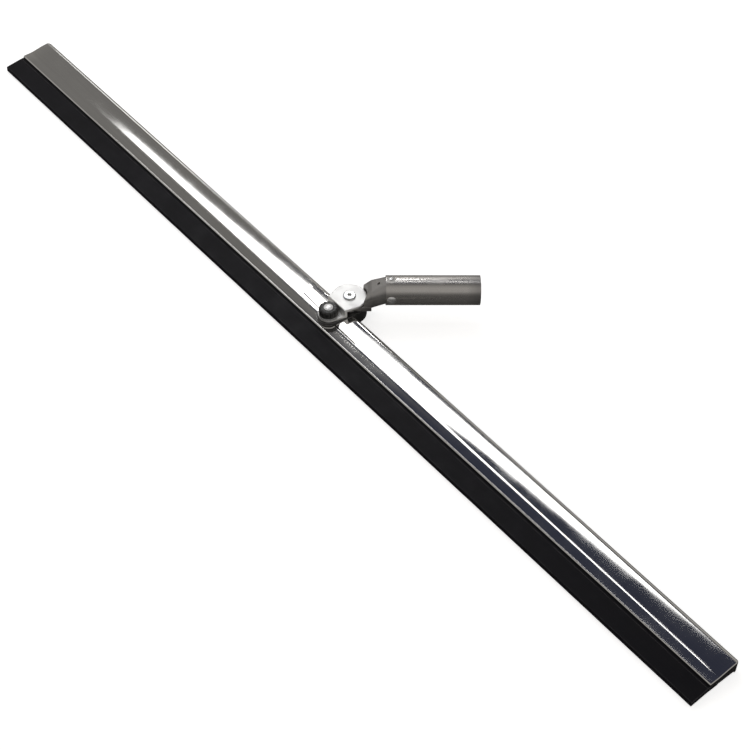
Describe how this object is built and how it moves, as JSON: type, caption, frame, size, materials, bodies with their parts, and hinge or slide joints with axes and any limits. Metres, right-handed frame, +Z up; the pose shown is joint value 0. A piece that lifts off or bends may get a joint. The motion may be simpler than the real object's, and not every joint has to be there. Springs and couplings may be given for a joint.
{
  "type": "window cleaning squeegee",
  "caption": "Long straight window squeegee: pressed steel channel clamping a rubber blade, with a locking swivel head and an angled round pole socket.",
  "frame": {"origin": "middle of the flat underside of the lower jaw plate, which is the plane the bar rests on", "axes": "+X along the bar, +Y from the rubber's edge back towards the rear wall, +Z up out of the channel's top"},
  "size_m": [0.914, 0.1495, 0.0423],
  "materials": {
    "channel_steel": "brushed, bright",
    "jaw_steel": "mill finish",
    "blade_rubber": "smooth, matt",
    "spacer_plastic": "extruded",
    "plug_plastic": "moulded, matt",
    "fastener_steel": "zinc plated",
    "saddle_casting": "dark coating",
    "friction_plastic": "smooth",
    "cap_steel": "polished",
    "knob_plastic": "moulded",
    "insert_metal": "polished",
    "neck_casting": "cast, tumbled",
    "socket_metal": "rolled tube, satin",
    "rivet_metal": "satin"
  },
  "bodies": {
    "bar": {"channel": "channel_steel", "lower_plate": "jaw_steel", "blade": "blade_rubber", "spacer_bars": "spacer_plastic", "end_plug_left": "plug_plastic", "end_plug_right": "plug_plastic", "clamp_nuts": "fastener_steel", "clamp_screws": "fastener_steel", "backing_plate": "jaw_steel", "saddle": "saddle_casting", "saddle_screws": "fastener_steel", "friction_washer": "friction_plastic", "wave_washer": "fastener_steel", "clamp_strap": "cap_steel", "pivot_screw": "fastener_steel", "lock_stud": "fastener_steel"},
    "handle": {"swivel_neck": "neck_casting", "pole_socket": "socket_metal", "top_rivet": "rivet_metal", "cross_rivet": "rivet_metal"},
    "lock_washer_body": {"lock_washer": "fastener_steel"},
    "knob": {"lock_knob": "knob_plastic", "knob_insert": "insert_metal"}
  },
  "joints": [
    {"name": "handle_swivel", "type": "hinge", "parent": "bar", "child": "handle", "pos_m": [0, 0.0199, 0.0163], "axis": [0, 0, 1], "range_deg": [-41.8, 118.2]},
    {"name": "lock_lift", "type": "slide", "parent": "bar", "child": "lock_washer_body", "axis": [0, 0, 1], "range_m": [0, 0.0015]},
    {"name": "lock_turn", "type": "hinge", "parent": "lock_washer_body", "child": "knob", "pos_m": [0, -0.003, 0.018], "axis": [0, 0, 1], "range_deg": [0, 540.5]}
  ],
  "couplings": [
    {"joint": "lock_turn", "follows": "lock_lift", "rad_per_m": 6283.2}
  ]
}
